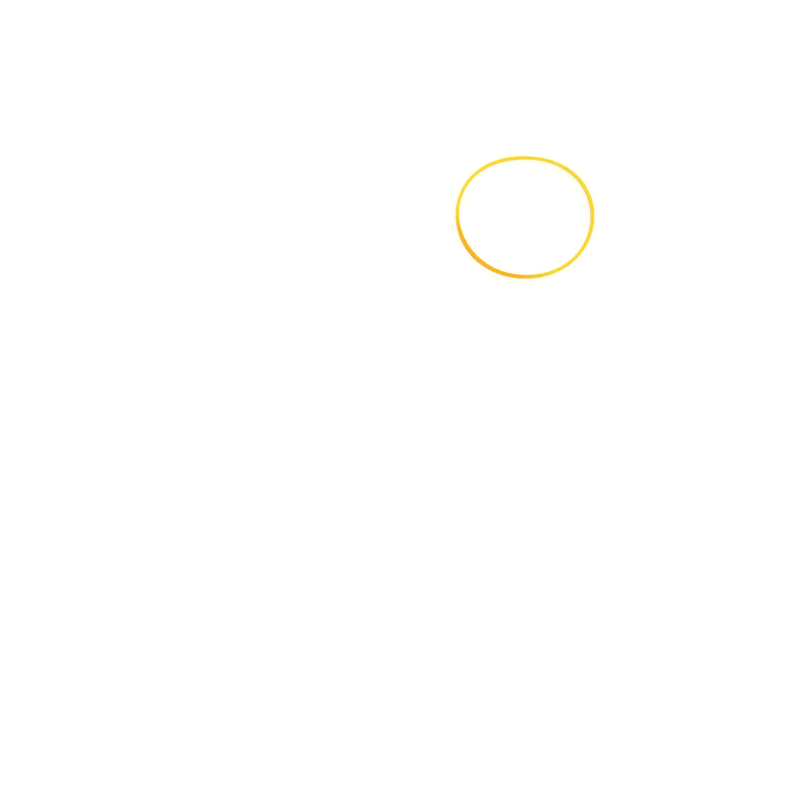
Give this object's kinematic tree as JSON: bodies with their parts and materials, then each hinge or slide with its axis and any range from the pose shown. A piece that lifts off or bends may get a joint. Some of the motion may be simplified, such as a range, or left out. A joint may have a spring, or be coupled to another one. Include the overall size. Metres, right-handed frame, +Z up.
{
  "type": "rubber band",
  "caption": "Slack rubber band of amber natural rubber, sliced from a tube, lying in a slightly oval loop; stretched round things to hold them together.",
  "frame": {"origin": "on the table, in the middle of the loop's box", "axes": "+X along the loop's longer way across, +Y along its shorter way across, +Z up from the table through the loop"},
  "size_m": [0.0556, 0.0492, 0.0026],
  "materials": {
    "rubber": "translucent amber yellow natural rubber, satin walls and slightly rougher cut faces"
  },
  "bodies": {
    "root": {"rubber_band": "rubber"}
  },
  "joints": []
}
